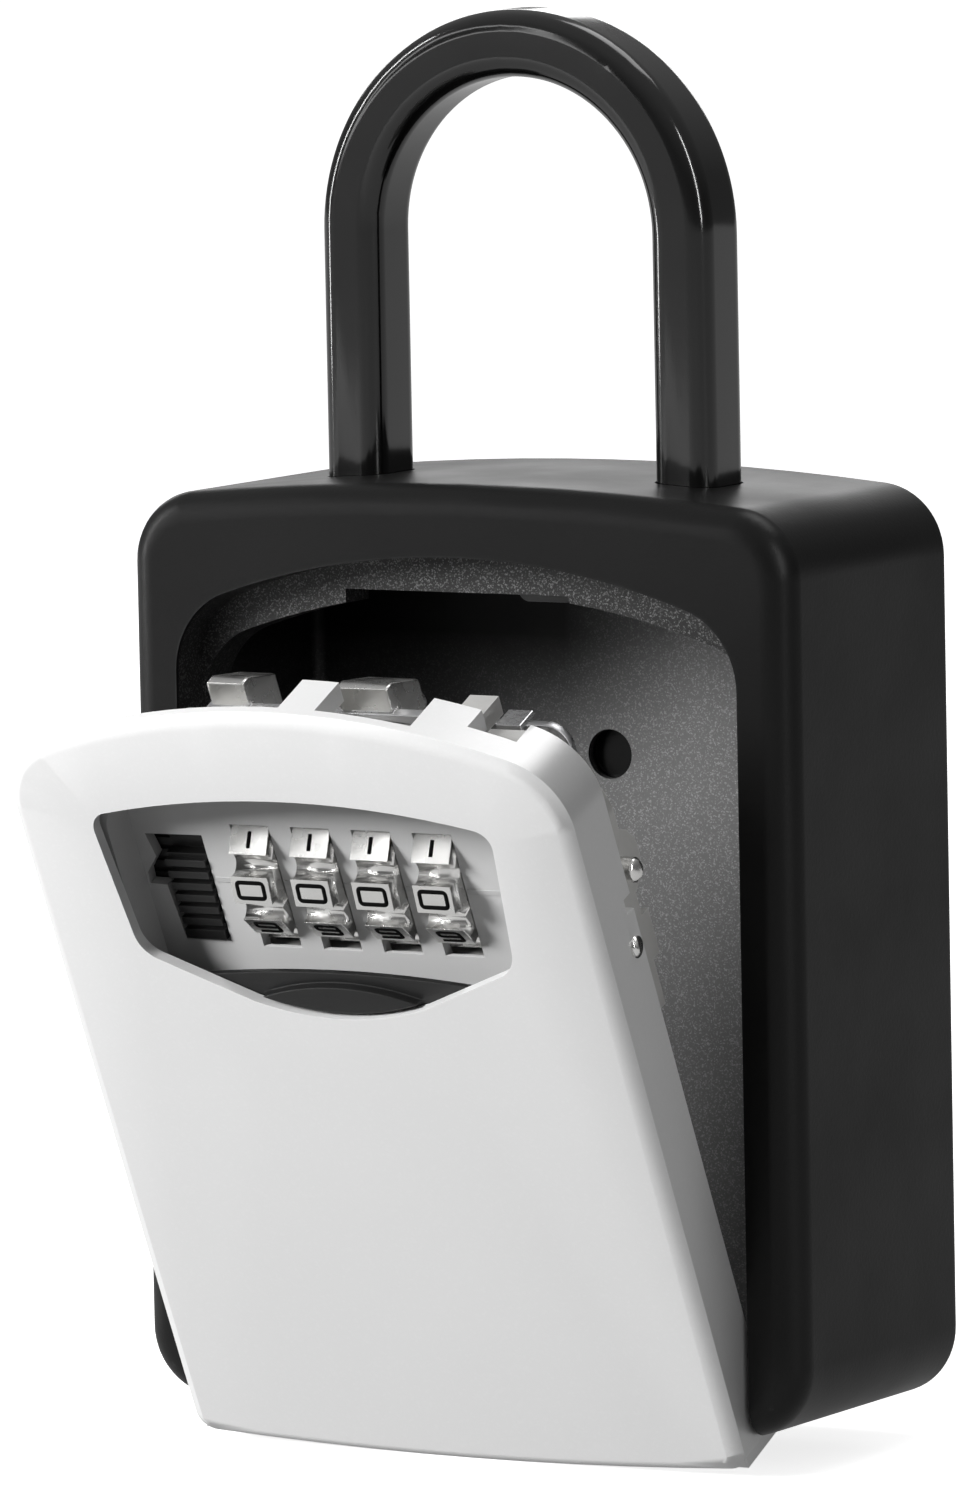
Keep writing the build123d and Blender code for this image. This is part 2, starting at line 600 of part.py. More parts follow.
def dial_spindle():
    spindle = rod_x(SPINDLE_LEFT, SPINDLE_RIGHT, DIAL_Y, DIAL_Z, SPINDLE_RADIUS)
    spindle = chamfer(spindle.edges().filter_by(GeomType.CIRCLE), 0.4)
    groove = rod_x(CLIP_LEFT, CLIP_RIGHT, DIAL_Y, DIAL_Z, CLIP_RADIUS)
    return spindle - (groove - rod_x(CLIP_LEFT, CLIP_RIGHT, DIAL_Y, DIAL_Z, CLIP_GROOVE))


def spindle_clip():
    clip = rod_x(CLIP_LEFT, CLIP_RIGHT, DIAL_Y, DIAL_Z, CLIP_RADIUS)
    clip -= rod_x(CLIP_LEFT - 1, CLIP_RIGHT + 1, DIAL_Y, DIAL_Z, CLIP_GROOVE)
    return clip - block(CLIP_LEFT - 1, CLIP_RIGHT + 1, DIAL_Y - 0.9, DIAL_Y + 0.9, DIAL_Z - 4, DIAL_Z)


def detent_spring():
    """A leaf comb on the shelf under the dials, one finger rising to each wheel."""
    spring = block(-12.3, 18.0, 7.8, 17.9, SHELF_HIGH, SHELF_HIGH + 0.5)
    finger = make_face(Polyline((17.6, SHELF_HIGH + 0.2), (17.6, SHELF_HIGH + 0.8), (10.4, 65.2), (9.4, 65.2),
                                (9.0, 64.6), (10.0, 64.6), close=True))
    for x in DIAL_XS:
        spring += Pos(x - 2, 0, 0) * Rot(0, 0, 90) * Rot(90, 0, 0) * extrude(finger, amount=4)
    return spring


def dial_wheel(x):
    """A number wheel: ten flat pads with a hollow between neighbours."""
    profile = RegularPolygon(WHEEL_APOTHEM, DIAL_DIGITS, major_radius=False)
    step = 360 / DIAL_DIGITS
    for i in range(DIAL_DIGITS):
        profile -= Rot(0, 0, step * i) * Pos(GROOVE_CENTRE, 0) * Circle(GROOVE_RADIUS)
    profile -= Circle(HUB_RADIUS)
    wheel = Rot(0, 0, -WHEEL_TURN) * extrude(profile, amount=2 * WHEEL_HALF)
    return Pos(x - WHEEL_HALF, DIAL_Y, DIAL_Z) * Rot(0, 90, 0) * wheel


def dial_cam(x):
    """The code disc and the hub that carries the wheel, with the gate the latch comb drops into."""
    cam = rod_x(x - WHEEL_HALF, x + CAM_NEAR, DIAL_Y, DIAL_Z, HUB_RADIUS)
    cam += rod_x(x + CAM_NEAR, x + CAM_FAR, DIAL_Y, DIAL_Z, CAM_RADIUS)
    gate = block(x + CAM_NEAR - 0.5, x + CAM_FAR + 0.5, -GATE_WIDTH / 2, GATE_WIDTH / 2,
                 CAM_RADIUS - GATE_DEPTH, CAM_RADIUS + 1)
    cam -= Pos(0, DIAL_Y, DIAL_Z) * Rot(GATE_ANGLE, 0, 0) * gate
    return cam - rod_x(x - 9, x + 9, DIAL_Y, DIAL_Z, SPINDLE_RADIUS + RUNNING)


def latch_plate():
    plate = block(ARM_LEFT, ARM_RIGHT, LATCH_FRONT, LATCH_BACK, ARM_LOW, ARM_TOP)
    plate += block(ARM_LEFT, BAR_RIGHT, LATCH_FRONT, LATCH_BACK, BAR_LOW, ARM_TOP)
    plate += block(BAR_LEFT, BAR_RIGHT, LATCH_FRONT, LATCH_BACK, BAR_LOW, BAR_TOP)
    plate += block(BAR_RIGHT - 1, DIAL_XS[3] + COMB_OFFSET + 1, LATCH_FRONT, LATCH_BACK, BAR_LOW, TAIL_TOP)
    plate += block(-30.8, ARM_LEFT + 1, LATCH_FRONT, LATCH_BACK, SPRING_HIGH, EAR_HIGH + 6)
    plate += block(-30.8, -26.2, 6.5, LATCH_BACK, SPRING_HIGH, EAR_HIGH)
    for x in DIAL_XS:
        centre = x + COMB_OFFSET
        plate += block(centre - COMB_HALF, centre + COMB_HALF, LATCH_FRONT, LATCH_BACK, COMB_TIP, BAR_LOW + 1)
    for x, z in LATCH_GUIDES:
        slot = rod_y(x, LATCH_FRONT - 1, LATCH_BACK + 1, z, 1.6)
        slot += rod_y(x, LATCH_FRONT - 1, LATCH_BACK + 1, z - LATCH_TRAVEL, 1.6)
        slot += block(x - 1.6, x + 1.6, LATCH_FRONT - 1, LATCH_BACK + 1, z - LATCH_TRAVEL, z)
        plate -= slot
    for x, z in BOLT_RIVETS + (KNOB_RIVET,):
        plate -= rod_y(x, LATCH_FRONT - 1, LATCH_BACK + 1, z, RIVET_RADIUS)
    return plate


def latch_bolt(span):
    """A hook on the latch plate: flat front that catches the ledge, top sloping down to the rear."""
    x0, x1 = span
    side = Polyline((BOLT_FRONT, BAR_TOP), (BOLT_FRONT, BOLT_TOP), (BOLT_FRONT + 1.6, BOLT_TOP),
                    (BOLT_BACK, BOLT_TOP - BOLT_BEVEL), (BOLT_BACK, BOLT_LOW), (LATCH_BACK, BOLT_LOW),
                    (LATCH_BACK, BAR_TOP), close=True)
    bolt = Pos(x0, 0, 0) * Rot(0, 0, 90) * Rot(90, 0, 0) * extrude(make_face(side), amount=x1 - x0)
    for x, z in BOLT_RIVETS:
        if x0 < x < x1:
            bolt -= rod_y(x, LATCH_BACK - 1, BOLT_BACK + 1, z, RIVET_RADIUS)
    return bolt


def latch_rivets():
    rivets = Part()
    for x, z in BOLT_RIVETS:
        rivets += rod_y(x, LATCH_FRONT, BOLT_BACK, z, RIVET_RADIUS)
        rivets += rod_y(x, BOLT_BACK, BOLT_BACK + RIVET_HEAD_HEIGHT, z, RIVET_HEAD)
    x, z = KNOB_RIVET
    rivets += rod_y(x, LATCH_FRONT - 3, LATCH_BACK, z, RIVET_RADIUS)
    return rivets + rod_y(x, LATCH_BACK, LATCH_BACK + RIVET_HEAD_HEIGHT, z, RIVET_HEAD)


def latch_guide_screws():
    screws = Part()
    for x, z in LATCH_GUIDES:
        screw = rod_y(x, FRAME_BACK - 5, FRAME_BACK, z, LATCH_GUIDE_THREAD)
        screw += rod_y(x, FRAME_BACK, LATCH_BACK + 0.1, z, GUIDE_SHOULDER)
        screw += rod_y(x, LATCH_BACK + 0.1, LATCH_BACK + 1.3, z, GUIDE_HEAD)
        screws += screw - block(x - 2, x + 2, LATCH_BACK + 0.8, LATCH_BACK + 2, z - 0.35, z + 0.35)
    return screws


def open_knob():
    """The thumb piece in the slot, on a wider ribbed base that slides behind the dial plate."""
    knob = block(KNOB_BASE_LEFT, KNOB_BASE_RIGHT, KNOB_BASE_FRONT, KNOB_BACK, KNOB_BASE_LOW, KNOB_BASE_HIGH)
    knob += block(KNOB_LEFT, KNOB_RIGHT, KNOB_FRONT, KNOB_BACK, KNOB_LOW, KNOB_HIGH)
    z = KNOB_LOW + KNOB_RIB_PITCH
    while z < KNOB_BASE_HIGH - KNOB_RIB_PITCH / 2:
        low, high = z - KNOB_GROOVE / 2, z + KNOB_GROOVE / 2
        knob -= block(KNOB_BASE_LEFT - 1, KNOB_LEFT, KNOB_BASE_FRONT - 1, KNOB_BASE_FRONT + 0.5, low, high)
        if z < KNOB_HIGH:
            knob -= block(KNOB_LEFT - 1, KNOB_RIGHT + 1, KNOB_FRONT - 1, KNOB_FRONT + 0.7, low, high)
        z += KNOB_RIB_PITCH
    knob += block(-21.6, -18.0, KNOB_BACK - 0.1, LATCH_FRONT, 70.0, 77.0)
    x, z = KNOB_RIVET
    return knob - rod_y(x, LATCH_FRONT - 3, LATCH_FRONT + 1, z, RIVET_RADIUS)


def latch_spring():
    """A round-wire compression spring standing on the frame's floor under the latch plate's ear."""
    height = SPRING_HIGH - SPRING_LOW - 2 * SPRING_WIRE - 0.1
    path = Helix(SPRING_PITCH, height, SPRING_RADIUS)
    start = Plane(origin=path @ 0, z_dir=path % 0)
    coil = sweep(start * Circle(SPRING_WIRE), path, is_frenet=True)
    return Pos(SPRING_X, SPRING_Y, SPRING_LOW + SPRING_WIRE + 0.05) * coil


def shutter():
    """The sliding cover, a thin arched panel with a raised lens-shaped thumb grip."""
    left, right = (-SHUTTER_HALF, SHUTTER_SIDE_TOP), (SHUTTER_HALF, SHUTTER_SIDE_TOP)
    edges = Polyline(left, (-SHUTTER_HALF, SHUTTER_LOW), (SHUTTER_HALF, SHUTTER_LOW), right)
    edges += ThreePointArc(right, (0, SHUTTER_APEX), left)
    panel = slab(make_face(edges), SHUTTER_FRONT, SHUTTER_BACK)
    lens = ThreePointArc((-GRIP_HALF, GRIP_SIDE), (0, GRIP_LOW), (GRIP_HALF, GRIP_SIDE))
    lens += ThreePointArc((GRIP_HALF, GRIP_SIDE), (0, GRIP_HIGH), (-GRIP_HALF, GRIP_SIDE))
    return panel + slab(make_face(lens), GRIP_FRONT, SHUTTER_BACK)


def side_rivets():
    rivets = Part()
    for side in (-1, 1):
        x0, x1 = sorted((side * 32.5, side * 37.8))
        rivets += rod_x(x0, x1, SIDE_RIVET_Y, SIDE_RIVET_Z, SIDE_RIVET_RADIUS)
    return rivets


def reset_lever():
    front = BULKHEAD_BACK - 1.6
    lever = block(RESET_X - 1.2, RESET_X + 1.2, front, REAR_COVER_BACK + 0.2, RESET_Z - 1.1, RESET_Z + 1.1)
    lever += block(RESET_X - 2.5, RESET_X + 2.5, front, BULKHEAD_BACK - 0.1, RESET_Z - 1.3, RESET_Z + 1.3)
    lever += block(RESET_X - 2.5, RESET_X + 2.5, REAR_COVER_BACK + 0.1, REAR_COVER_BACK + 2.2,
                   RESET_Z - 2.2, RESET_Z + 2.2)
    return lever


def write(parts, placement):
    for name, shape in parts.items():
        export_step(placement * shape, f"parts/{name}.step")


case_parts = {
    "case_shell": case_shell(),
    "hinge_pin": hinge_pin(),
    "lock_guide_screws": lock_guide_screws(),
    "shackle_core": shackle_core(),
    "shackle_sleeve": shackle_sleeve(),
    "shackle_lock_slide": shackle_lock_slide(),
}

door_parts = {
    "door_cover": door_cover(),
    "hinge_bush_left": hinge_bush(-1),
    "hinge_bush_right": hinge_bush(1),
    "dial_plate": dial_plate(),
    "mechanism_frame": mechanism_frame(),
    "frame_screws": frame_screws(),
    "rear_cover": rear_cover(),
    "rear_cover_screws": rear_cover_screws(),
    "dial_spindle": dial_spindle(),
    "spindle_clip": spindle_clip(),
    "detent_spring": detent_spring(),
    "latch_plate": latch_plate(),
    "latch_bolt_left": latch_bolt(LEFT_BOLT),
    "latch_bolt_right": latch_bolt(RIGHT_BOLT),
    "latch_rivets": latch_rivets(),
    "latch_guide_screws": latch_guide_screws(),
    "latch_spring": latch_spring(),
    "open_knob": open_knob(),
    "shutter": shutter(),
    "side_rivets": side_rivets(),
    "reset_lever": reset_lever(),
}
for number, dial_x in enumerate(DIAL_XS, start=1):
    door_parts[f"dial_wheel_{number}"] = dial_wheel(dial_x)
    door_parts[f"dial_cam_{number}"] = dial_cam(dial_x)

os.makedirs("parts", exist_ok=True)
to_row = Pos(0, -CASE_DEPTH, -ORIGIN_Z)
door_open = Pos(0, HINGE_Y, HINGE_Z) * Rot(DOOR_OPEN_ANGLE, 0, 0) * Pos(0, -HINGE_Y, -HINGE_Z)
write(case_parts, to_row)
write(door_parts, to_row * door_open)
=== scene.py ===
import json
import math

import bmesh
import bpy
from mathutils import Matrix, Vector


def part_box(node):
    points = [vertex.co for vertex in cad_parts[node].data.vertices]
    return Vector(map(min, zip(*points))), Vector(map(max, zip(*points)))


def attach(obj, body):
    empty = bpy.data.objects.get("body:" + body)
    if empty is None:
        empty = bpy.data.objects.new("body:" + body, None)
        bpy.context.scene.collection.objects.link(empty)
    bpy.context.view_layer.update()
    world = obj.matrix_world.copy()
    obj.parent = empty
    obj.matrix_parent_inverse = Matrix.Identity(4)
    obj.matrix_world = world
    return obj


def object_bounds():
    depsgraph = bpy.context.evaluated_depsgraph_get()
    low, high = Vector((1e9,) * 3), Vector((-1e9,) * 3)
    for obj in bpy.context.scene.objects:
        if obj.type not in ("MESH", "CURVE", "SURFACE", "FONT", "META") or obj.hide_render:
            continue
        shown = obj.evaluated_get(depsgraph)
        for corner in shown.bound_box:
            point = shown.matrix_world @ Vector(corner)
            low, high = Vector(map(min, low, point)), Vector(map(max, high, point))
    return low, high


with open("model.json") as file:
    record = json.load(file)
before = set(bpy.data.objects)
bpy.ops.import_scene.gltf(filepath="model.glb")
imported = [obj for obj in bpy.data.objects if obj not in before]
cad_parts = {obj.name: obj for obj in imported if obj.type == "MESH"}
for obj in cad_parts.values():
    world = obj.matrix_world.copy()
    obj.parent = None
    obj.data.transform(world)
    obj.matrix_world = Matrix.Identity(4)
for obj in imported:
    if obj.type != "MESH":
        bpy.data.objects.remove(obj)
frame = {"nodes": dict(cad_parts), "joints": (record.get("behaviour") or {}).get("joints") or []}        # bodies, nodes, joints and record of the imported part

MM = 0.001
cad_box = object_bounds()
joints = {j["name"]: j for j in frame["joints"]}
nodes = frame["nodes"]

# ---------------------------------------------------------------- where the closed door would be
hinge = joints["door_hinge"]
hinge_at = Vector(hinge["pos_m"])
open_angle = math.radians(-hinge["range_deg"][0])
DOOR = Matrix.Translation(hinge_at) @ Matrix.Rotation(open_angle, 4, "X") @ Matrix.Translation(-hinge_at)
CLOSED = DOOR.inverted()


def dial_centre(number):
    """The middle of a dial with the door swung shut, in mm."""
    return CLOSED @ Vector(joints[f"dial_{number}_turn"]["pos_m"]) / MM


def on_shut_door(x, y, z):
    """Row position of a point given in mm from the case's front face and bottom, with the door shut."""
    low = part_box("case_shell")[0]
    return DOOR @ (Vector((x, y, z)) * MM + Vector((0, low[1], low[2])))


# ---------------------------------------------------------------- materials
def add(tree, kind, inputs=None, **props):
    node = tree.nodes.new("ShaderNode" + kind)
    for key, value in props.items():
        setattr(node, key, value)
    for key, value in (inputs or {}).items():
        if isinstance(value, bpy.types.NodeSocket):
            tree.links.new(value, node.inputs[key])
        else:
            node.inputs[key].default_value = value
    return node


def rgb(value):
    if isinstance(value, (int, float)):
        return (value, value, value, 1)
    return (*value, 1)


def mix(tree, factor, a, b):
    """A colour mix; a and b are colours or sockets."""
    node = add(tree, "Mix", data_type="RGBA")
    for socket, value in ((node.inputs[0], factor), (node.inputs[6], a), (node.inputs[7], b)):
        if isinstance(value, bpy.types.NodeSocket):
            tree.links.new(value, socket)
        else:
            socket.default_value = value
    return node.outputs[2]


def ramp(tree, value, low, high, to_low=0.0, to_high=1.0):
    node = add(tree, "MapRange", {0: value, 1: low, 2: high, 3: to_low, 4: to_high})
    return node.outputs[0]


def noise(tree, coords, scale, detail=2.0, stretch=(1, 1, 1)):
    mapped = add(tree, "Mapping", {"Vector": coords, "Scale": stretch}).outputs[0]
    return add(tree, "TexNoise", {"Vector": mapped, "Scale": scale, "Detail": detail}).outputs["Fac"]


def surface(tree, base, rough, metal=0.0, grain=(3500, 0.02), mottle=(70, 0.10), rough_spread=0.06,
            wear=None, coat=0.0, flake=None, streak=None, specular=0.5):
    """A procedural surface: base colour with mottling, fine grain bump, roughness variation, worn edges.

    grain is (scale per metre, height in mm); mottle is (scale per metre, amount); wear is (colour, width in
    mm, amount); flake is (scale, amount); streak is (stretch, amount) for drawn metal. Returns the socket."""
    bsdf = tree.nodes.new("ShaderNodeBsdfPrincipled")
    coords = add(tree, "TexCoord").outputs["Object"]
    large = noise(tree, coords, mottle[0], 4.0)
    dark = rgb([max(0.0, c * (1 - mottle[1])) for c in rgb(base)[:3]])
    light = rgb([min(1.0, c * (1 + mottle[1])) for c in rgb(base)[:3]])
    colour = mix(tree, large, dark, light)
    fine = noise(tree, coords, grain[0], 3.0)
    roughness = ramp(tree, large, 0.3, 0.7, rough - rough_spread, rough + rough_spread)
    height = fine
    if flake:
        cells = add(tree, "TexVoronoi", {"Vector": coords, "Scale": flake[0]}).outputs["Color"]
        spark = add(tree, "SeparateColor", {"Color": cells}).outputs[0]
        bright = ramp(tree, spark, 0.7, 1.0, 0.0, flake[1])
        colour = mix(tree, bright, colour, rgb(0.9))
    if streak:
        lines = noise(tree, coords, 900, 2.0, streak[0])
        colour = mix(tree, ramp(tree, lines, 0.3, 0.7, 0.0, streak[1]), colour, dark)
        roughness = add(tree, "Math", {0: roughness, 1: ramp(tree, lines, 0.3, 0.7, -0.06, 0.08)}).outputs[0]
        height = add(tree, "Math", {0: fine, 1: lines}).outputs[0]
    if wear:
        soft = add(tree, "Bevel", {"Radius": wear[1] * MM}, samples=4).outputs[0]
        sharp = add(tree, "NewGeometry").outputs["Normal"]
        same = add(tree, "VectorMath", {0: soft, 1: sharp}, operation="DOT_PRODUCT").outputs["Value"]
        edge = ramp(tree, same, 0.995, 0.85, 0.0, wear[2])
        patchy = ramp(tree, noise(tree, coords, 500, 4.0), 0.35, 0.65, 0.25, 1.0)
        amount = add(tree, "Math", {0: edge, 1: patchy}, operation="MULTIPLY").outputs[0]
        colour = mix(tree, amount, colour, rgb(wear[0]))
    bump = add(tree, "Bump", {"Height": height, "Distance": grain[1] * MM, "Strength": 1.0}).outputs[0]
    tree.links.new(bump, bsdf.inputs["Normal"])
    tree.links.new(colour, bsdf.inputs["Base Color"])
    tree.links.new(roughness, bsdf.inputs["Roughness"])
    bsdf.inputs["Metallic"].default_value = metal
    bsdf.inputs["Coat Weight"].default_value = coat
    bsdf.inputs["Coat Roughness"].default_value = 0.12
    bsdf.inputs["Specular IOR Level"].default_value = specular
    return bsdf.outputs[0]


def blank_material(name):
    material = bpy.data.materials.new(name)
    material.use_nodes = True
    tree = material.node_tree
    tree.nodes.remove(tree.nodes["Principled BSDF"])
    return material, tree, tree.nodes["Material Output"].inputs["Surface"]


def finish(name, base, rough, **details):
    material, tree, out = blank_material(name)
    tree.links.new(surface(tree, base, rough, **details), out)
    return material


def inside_mask(tree, low, high, soft=0.25):
    """1 within a box given in mm in the row frame, 0 outside it."""
    axes = add(tree, "SeparateXYZ", {"Vector": add(tree, "TexCoord").outputs["Object"]})
    product = None
    for axis in range(3):
        for edge, sign in ((low[axis], 1), (high[axis], -1)):
            start, end = (edge - sign * soft) * MM, (edge + sign * soft) * MM
            step = ramp(tree, axes.outputs[axis], start, end)
            if product is not None:
                step = add(tree, "Math", {0: product, 1: step}, operation="MULTIPLY").outputs[0]
            product = step
    return product


MOUTH_DEPTH = 10.9      # from the front of the hollow to where the lighter casting starts
SHADE_WIDE = 44.0       # painted shade at the hollow's upper left, in the black coat: how far it reaches right, down, and how softly
SHADE_DOWN = 22.0
SHADE_SOFT = 9.0


def case_finish():
    """Black powder coat outside, dark casting round the opening, lighter casting in the hollow, with painted
    shade in the black coat over the hollow's upper left.
    """
    material, tree, out = blank_material("case_coat_and_cavity")
    cast = dict(grain=(2600, 0.03), mottle=(60, 0.15))
    outer = surface(tree, 0.005, 0.40, grain=(2300, 0.018), mottle=(50, 0.25), wear=(0.035, 0.5, 0.5),
                    specular=0.22)
    ring = surface(tree, 0.03, 0.46, metal=0.4, flake=(6500, 0.18), **cast)
    inner = surface(tree, 0.19, 0.44, metal=0.5, flake=(6500, 0.25), **cast)
    low, high = case_hollow()
    # painted shade: the black coat is laid over the upper left of the hollow, standing in for the shadow
    # under the opening's rim
    past = 3 * SHADE_SOFT
    painted_shade = inside_mask(tree, (low[0] - past, low[1], high[2] - SHADE_DOWN),
                        (low[0] + SHADE_WIDE, high[1] + past, high[2] + past), SHADE_SOFT)
    mouth = add(tree, "MixShader", {0: inside_mask(tree, low, high), 1: outer, 2: ring})
    deep = inside_mask(tree, (low[0], low[1] + MOUTH_DEPTH, low[2]), high)
    inner_under_painted_shade = add(tree, "MixShader", {0: painted_shade, 1: inner, 2: outer})
    whole = add(tree, "MixShader", {0: deep, 1: mouth.outputs[0], 2: inner_under_painted_shade.outputs[0]})
    tree.links.new(whole.outputs[0], out)
    return material


def case_hollow():
    """The hollow of the case, from just behind its front face to its back wall, in mm."""
    low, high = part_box("case_shell")
    wall, lip, back, roof = 3.9, 0.5, 2.0, 8.3
    return ((low[0] / MM + wall, low[1] / MM + lip, low[2] / MM + wall),
            (high[0] / MM - wall, high[1] / MM - back, high[2] / MM - roof))


case_coat = case_finish()
door_paint = finish("door_silver_white", 0.78, 0.38, metal=0.30, grain=(3200, 0.010), mottle=(45, 0.02),
                    wear=(0.95, 0.35, 0.5), flake=(3000, 0.10))
plate_grey = finish("plate_grey", 0.47, 0.55, grain=(3000, 0.012), mottle=(80, 0.05), wear=(0.35, 0.25, 0.4))
cast_alloy = finish("cast_alloy", (0.62, 0.615, 0.60), 0.42, metal=0.6, grain=(1500, 0.03),
                    mottle=(160, 0.12), wear=(0.95, 0.3, 0.6))
nickel = finish("polished_nickel", (0.82, 0.815, 0.80), 0.25, metal=1.0, grain=(900, 0.006),
                mottle=(220, 0.08), rough_spread=0.07, wear=(0.98, 0.2, 0.4))
steel = finish("plated_steel", (0.60, 0.60, 0.61), 0.32, metal=1.0, grain=(1400, 0.008),
               mottle=(200, 0.12), streak=((1, 1, 8), 0.3), wear=(0.9, 0.2, 0.5))
dark_steel = finish("oiled_steel", (0.10, 0.10, 0.10), 0.42, metal=0.9, grain=(1400, 0.01),
                    mottle=(150, 0.2), wear=(0.3, 0.2, 0.5))
brass = finish("turned_brass", (0.72, 0.52, 0.22), 0.28, metal=1.0, grain=(1400, 0.006),
               streak=((8, 1, 1), 0.25))
black_plastic = finish("black_plastic", 0.010, 0.38, grain=(3800, 0.012), mottle=(120, 0.2),
                       wear=(0.06, 0.25, 0.5), specular=0.4)
sleeve_black = finish("sleeve_gloss_black", 0.003, 0.13, grain=(500, 0.008), mottle=(60, 0.2),
                      rough_spread=0.03, coat=0.5, specular=0.4)
nylon = finish("natural_nylon", (0.62, 0.60, 0.54), 0.45, grain=(2500, 0.01))
digit_ink = finish("digit_ink", 0.004, 0.8, grain=(3000, 0.004), specular=0.05)
index_ink = finish("index_line", 0.42, 0.45, grain=(3000, 0.004))

node_material = {
    "case_shell": case_coat, "hinge_pin": steel, "lock_guide_screws": steel, "shackle_core": steel,
    "shackle_sleeve": sleeve_black, "shackle_lock_slide": dark_steel, "door_cover": door_paint,
    "hinge_bush_left": nylon, "hinge_bush_right": nylon, "dial_plate": plate_grey,
    "mechanism_frame": cast_alloy, "frame_screws": steel, "rear_cover": steel,
    "rear_cover_screws": steel, "dial_spindle": nickel,
    "spindle_clip": steel, "detent_spring": steel, "latch_plate": steel, "latch_bolt_left": nickel,
    "latch_bolt_right": nickel, "latch_rivets": steel, "latch_guide_screws": steel, "latch_spring": steel,
    "open_knob": black_plastic, "shutter": black_plastic, "side_rivets": nickel, "reset_lever": black_plastic,
}
for i in range(1, 5):
    node_material[f"dial_wheel_{i}"] = nickel
    node_material[f"dial_cam_{i}"] = brass


# ---------------------------------------------------------------- carried-over CAD nodes
WELD_MM = 0.002
EDGE_ANGLE = 38
EDGE_SEGMENTS = 2


def dress(node, material, edge_mm):
    """Gives a CAD node its finish and small rounded edges, without touching its mesh."""
    obj = nodes[node]
    obj.data.materials.clear()
    obj.data.materials.append(material)
    weld = obj.modifiers.new("weld", "WELD")
    weld.merge_threshold = WELD_MM * MM
    if edge_mm:
        bevel = obj.modifiers.new("edges", "BEVEL")
        bevel.width = edge_mm * MM
        bevel.segments = EDGE_SEGMENTS
        bevel.limit_method = "ANGLE"
        bevel.angle_limit = math.radians(EDGE_ANGLE)
        bevel.harden_normals = False
    for polygon in obj.data.polygons:
        polygon.use_smooth = True
    normals = obj.modifiers.new("normals", "WEIGHTED_NORMAL")
    normals.keep_sharp = True


# Rounded edge of each node in mm; the rest keep their CAD edges.
edge_of = {"case_shell": 0.25, "door_cover": 0.2, "dial_plate": 0.15, "mechanism_frame": 0.2,
           "rear_cover": 0.15, "latch_plate": 0.15, "latch_bolt_left": 0.35, "latch_bolt_right": 0.35,
           "shackle_lock_slide": 0.2, "open_knob": 0.15, "shutter": 0.15, "reset_lever": 0.2}
for node, material in node_material.items():
    dress(node, material, edge_of.get(node, 0.0))


# ---------------------------------------------------------------- pieces made for looks, in mm
DIGIT_WIDE = 3.5
DIGIT_NARROW = 2.8      # every figure but the 0
DIGIT_HIGH = 2.0
DIGIT_STEP = 36         # degrees from one figure to the next
INK_TUBE = 0.40
INK_SUNK = 0.27
PAD_HALF = 1.75

# Each figure is one or more strokes through a grid: columns 0 left, 1 right; rows 0 low, 1 middle, 2 high.
FIGURES = {
    0: [[(0, 0), (1, 0), (1, 2), (0, 2), "loop"]],
    1: [[(0.5, 0), (0.5, 2)]],
    2: [[(0, 2), (1, 2), (1, 1), (0, 1), (0, 0), (1, 0)]],
    3: [[(0, 2), (1, 2), (1, 0), (0, 0)], [(0.2, 1), (1, 1)]],
    4: [[(0, 2), (0, 1), (1, 1)], [(1, 2), (1, 0)]],
    5: [[(1, 2), (0, 2), (0, 1), (1, 1), (1, 0), (0, 0)]],
    6: [[(1, 2), (0, 2), (0, 0), (1, 0), (1, 1), (0, 1)]],
    7: [[(0, 2), (1, 2), (1, 0)]],
    8: [[(0, 0), (1, 0), (1, 2), (0, 2), "loop"], [(0, 1), (1, 1)]],
    9: [[(1, 1), (0, 1), (0, 2), (1, 2), (1, 0), (0, 0)]],
}


def rounded(points, loop, radius=0.45):
    """The stroke's points with each corner turned into a short arc."""
    count = len(points)
    out = []
    for i, point in enumerate(points):
        here = Vector(point)
        if not loop and i in (0, count - 1):
            out.append(here)
            continue
        before, after = Vector(points[i - 1]), Vector(points[(i + 1) % count])
        start = here + (before - here).normalized() * radius
        end = here + (after - here).normalized() * radius
        for t in (0, 0.25, 0.5, 0.75, 1):
            out.append(start * (1 - t) ** 2 + here * 2 * t * (1 - t) + end * t * t)
    return out


